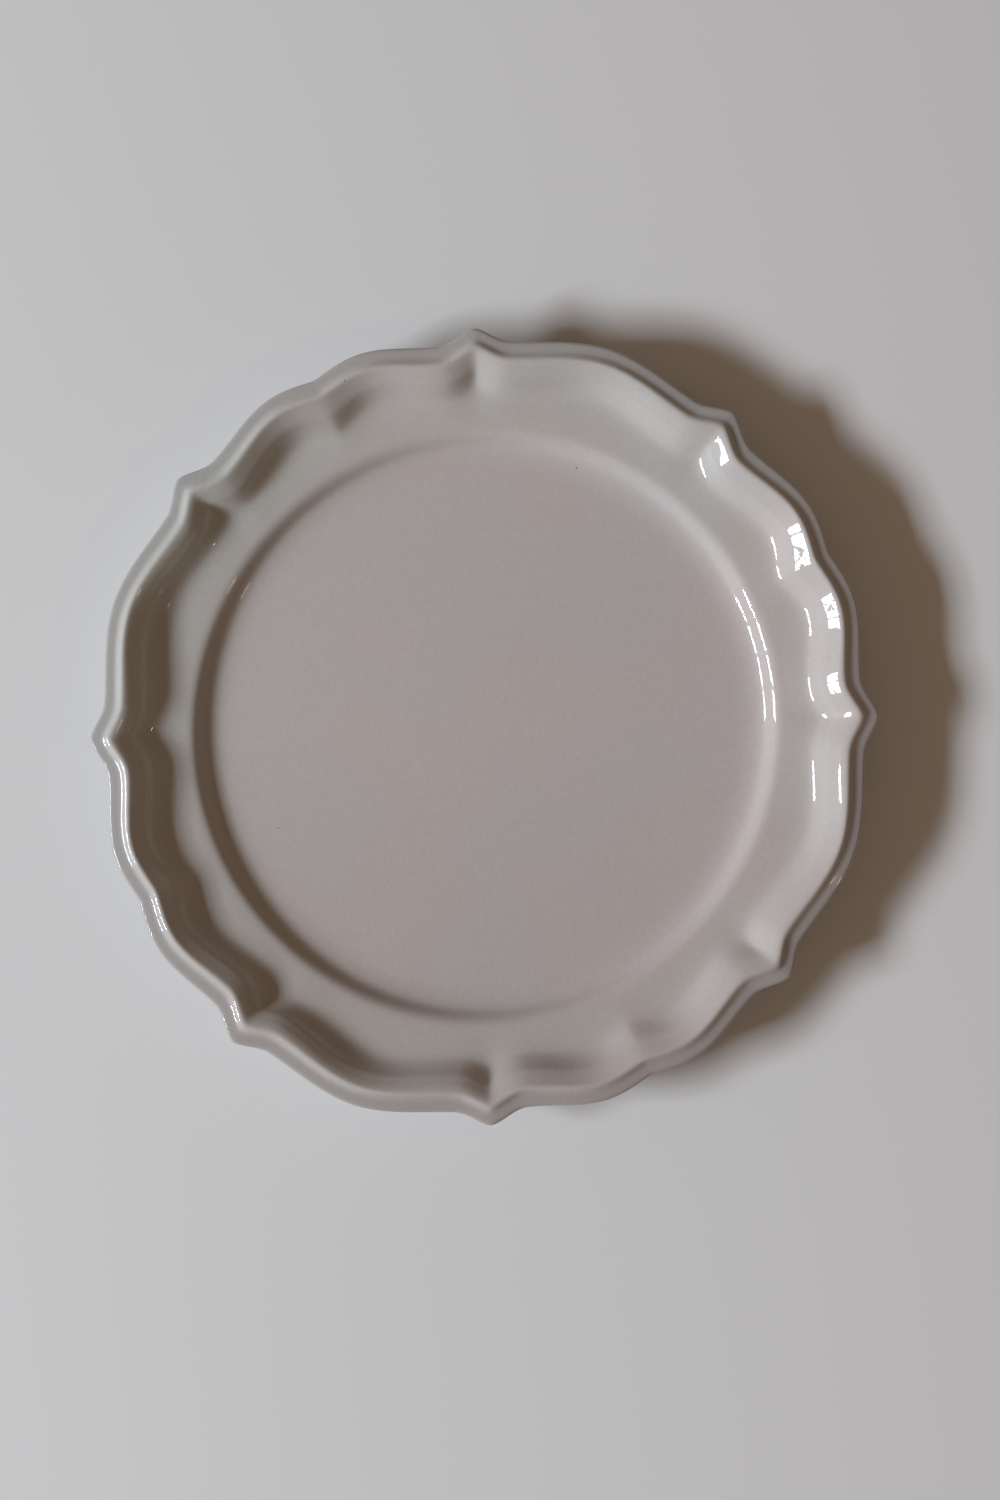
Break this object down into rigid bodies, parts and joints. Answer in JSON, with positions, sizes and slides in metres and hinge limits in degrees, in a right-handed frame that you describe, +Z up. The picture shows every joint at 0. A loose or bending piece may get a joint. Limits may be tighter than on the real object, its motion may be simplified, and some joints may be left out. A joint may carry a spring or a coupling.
{
  "type": "flat plate",
  "caption": "Round dinner plate with a scalloped, moulded rim, a raised flange, a shallow round well and a glossy glaze over a fired clay body on a foot ring.",
  "frame": {"origin": "centre of the foot ring's resting face", "axes": "+Z up out of the well, along the plate's axis; +X through the notch in the middle of one long arc of the rim"},
  "size_m": [0.2644, 0.2644, 0.022],
  "materials": {
    "bare_clay": "matte, fired and unglazed",
    "glaze": "glossy, warm light grey"
  },
  "bodies": {
    "root": {"clay_body": "bare_clay", "glaze_coat": "glaze", "base_glaze": "glaze"}
  },
  "joints": []
}
